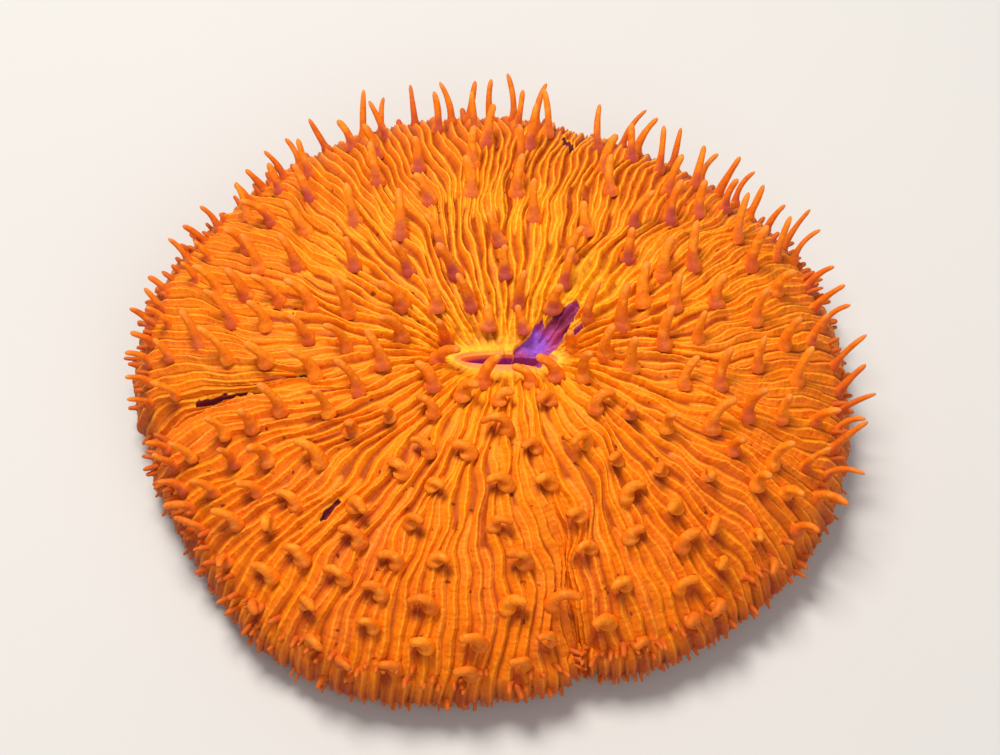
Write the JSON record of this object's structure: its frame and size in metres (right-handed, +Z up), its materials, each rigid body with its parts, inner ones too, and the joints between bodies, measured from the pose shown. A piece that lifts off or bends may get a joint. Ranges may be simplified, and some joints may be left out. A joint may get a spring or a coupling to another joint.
{
  "type": "mushroom coral",
  "caption": "Solitary plate coral: a low domed oval disc of fine radial ridges round a slit mouth, with short bent tentacles all over it, lying on its flat underside.",
  "frame": {"origin": "middle of the flat underside that it lies on", "axes": "+Z up from the ground, +Y to the far side of the picture, +X to its right along the longest extent"},
  "size_m": [0.0722, 0.0659, 0.0196],
  "materials": {
    "coral_tissue": "thin wet orange flesh over a stony skeleton, satin"
  },
  "bodies": {
    "root": {"coral": "coral_tissue"}
  },
  "joints": []
}
